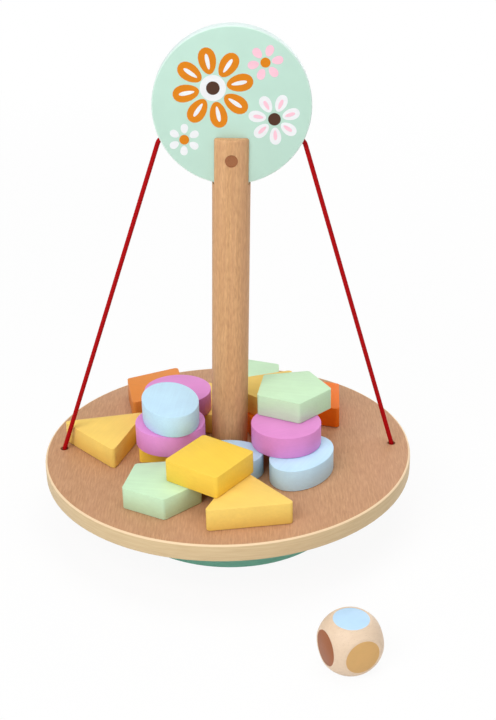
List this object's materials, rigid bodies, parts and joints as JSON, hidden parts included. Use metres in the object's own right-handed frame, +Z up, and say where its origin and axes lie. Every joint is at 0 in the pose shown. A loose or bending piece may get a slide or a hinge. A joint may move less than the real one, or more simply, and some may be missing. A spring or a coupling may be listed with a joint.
{
  "type": "balance game",
  "caption": "Wooden balance game: a round tray of loose coloured blocks hangs by a red cord from a disc on top of a post, with a colour die beside it.",
  "frame": {"origin": "on the post's axis at the underside of the foot", "axes": "+Z up along the post, +X to the right along the cords, -Y towards the front face of the disc"},
  "size_m": [0.2056, 0.2627, 0.2759],
  "materials": {
    "teal_paint": "matt teal-green paint",
    "beech": "bare beech",
    "stained_pin": "end grain, darker",
    "mint_paint": "matt pale mint paint with a small print on the front",
    "red_cord": "deep red cord",
    "plywood": "brown faced plywood, bare layered edge",
    "straw_paint": "matt straw-yellow paint",
    "yellow_paint": "matt yellow paint",
    "orange_paint": "matt orange paint",
    "green_paint": "matt pale green paint",
    "purple_paint": "matt pale purple paint",
    "blue_paint": "matt light blue paint",
    "maple": "bare pale wood with a round of paint on each flat"
  },
  "bodies": {
    "stand": {"foot": "teal_paint", "post": "beech", "cross_pin": "stained_pin", "top_disc": "mint_paint", "cord_left": "red_cord", "cord_right": "red_cord"},
    "sling": {"knot_left": "red_cord", "knot_right": "red_cord"},
    "tray": {"tray": "plywood"},
    "triangle_left": {"triangle_left": "straw_paint"},
    "triangle_front": {"triangle_front": "straw_paint"},
    "triangle_rear": {"triangle_rear": "straw_paint"},
    "triangle_upper": {"triangle_upper": "straw_paint"},
    "square_left": {"square_left": "yellow_paint"},
    "square_upper": {"square_upper": "yellow_paint"},
    "rhombus_rear": {"rhombus_rear": "orange_paint"},
    "rhombus_right": {"rhombus_right": "orange_paint"},
    "rhombus_inner": {"rhombus_inner": "orange_paint"},
    "pentagon_front": {"pentagon_front": "green_paint"},
    "pentagon_rear": {"pentagon_rear": "green_paint"},
    "pentagon_upper": {"pentagon_upper": "green_paint"},
    "oval_front": {"oval_front": "blue_paint"},
    "oval_right": {"oval_right": "blue_paint"},
    "oval_upper": {"oval_upper": "blue_paint"},
    "round_rear": {"round_rear": "purple_paint"},
    "round_left": {"round_left": "purple_paint"},
    "round_right": {"round_right": "purple_paint"},
    "die": {"die": "maple"}
  },
  "joints": [
    {"name": "tray_roll", "type": "hinge", "parent": "stand", "child": "sling", "pos_m": [-0.0009, 0, 0.0347], "axis": [0, 1, 0], "range_deg": [-3.35, 6.65], "deforming": ["cord_left", "cord_right"]},
    {"name": "tray_tilt", "type": "hinge", "parent": "sling", "child": "tray", "pos_m": [-0.0009, 0, 0.0347], "axis": [0.9996, 0, 0.0288], "range_deg": [-5, 5]},
    {"name": "rhombus_rear_slide", "type": "slide", "parent": "tray", "child": "rhombus_rear", "axis": [-0.4269, 0.9042, -0.0123], "range_m": [0, 0.015]},
    {"name": "triangle_left_slide", "type": "slide", "parent": "tray", "child": "triangle_left", "axis": [-0.1497, 0.9887, -0.0043], "range_m": [0, 0.01]},
    {"name": "pentagon_rear_lift", "type": "slide", "parent": "tray", "child": "pentagon_rear", "axis": [-0.0288, 0, 0.9996], "range_m": [0, 0.01]},
    {"name": "square_upper_lift", "type": "slide", "parent": "tray", "child": "square_upper", "axis": [-0.0288, 0, 0.9996], "range_m": [0, 0.01]},
    {"name": "square_left_lift", "type": "slide", "parent": "tray", "child": "square_left", "axis": [-0.0288, 0, 0.9996], "range_m": [0, 0.01]},
    {"name": "round_left_lift", "type": "slide", "parent": "square_left", "child": "round_left", "axis": [-0.0288, 0, 0.9996], "range_m": [0, 0.01]},
    {"name": "oval_upper_lift", "type": "slide", "parent": "round_left", "child": "oval_upper", "axis": [-0.0288, 0, 0.9996], "range_m": [0, 0.01]},
    {"name": "round_rear_slide", "type": "slide", "parent": "square_left", "child": "round_rear", "axis": [0, 1, 0], "range_m": [0, 0.012]},
    {"name": "rhombus_inner_lift", "type": "slide", "parent": "tray", "child": "rhombus_inner", "axis": [-0.0288, 0, 0.9996], "range_m": [0, 0.01]},
    {"name": "round_right_lift", "type": "slide", "parent": "rhombus_inner", "child": "round_right", "axis": [-0.0288, 0, 0.9996], "range_m": [0, 0.01]},
    {"name": "pentagon_upper_lift", "type": "slide", "parent": "round_right", "child": "pentagon_upper", "axis": [-0.0288, 0, 0.9996], "range_m": [0, 0.01]},
    {"name": "triangle_upper_slide", "type": "slide", "parent": "rhombus_inner", "child": "triangle_upper", "axis": [0, 1, 0], "range_m": [0, 0.008]},
    {"name": "pentagon_front_slide", "type": "slide", "parent": "tray", "child": "pentagon_front", "axis": [-0.5998, -0.8, -0.0173], "range_m": [0, 0.018]},
    {"name": "triangle_front_slide", "type": "slide", "parent": "tray", "child": "triangle_front", "axis": [0.2999, -0.9539, 0.0086], "range_m": [0, 0.015]},
    {"name": "oval_right_slide", "type": "slide", "parent": "tray", "child": "oval_right", "axis": [0.8667, -0.4983, 0.025], "range_m": [0, 0.022]},
    {"name": "rhombus_right_slide", "type": "slide", "parent": "tray", "child": "rhombus_right", "axis": [0.9996, 0, 0.0288], "range_m": [0, 0.012]},
    {"name": "triangle_rear_slide", "type": "slide", "parent": "tray", "child": "triangle_rear", "axis": [0.9996, 0, 0.0288], "range_m": [0, 0.004]},
    {"name": "oval_front_slide", "type": "slide", "parent": "tray", "child": "oval_front", "axis": [0.9996, 0, 0.0288], "range_m": [0, 0.0025]},
    {"name": "die_lift", "type": "slide", "parent": "stand", "child": "die", "axis": [0, 0, 1], "range_m": [0, 0.05]}
  ]
}
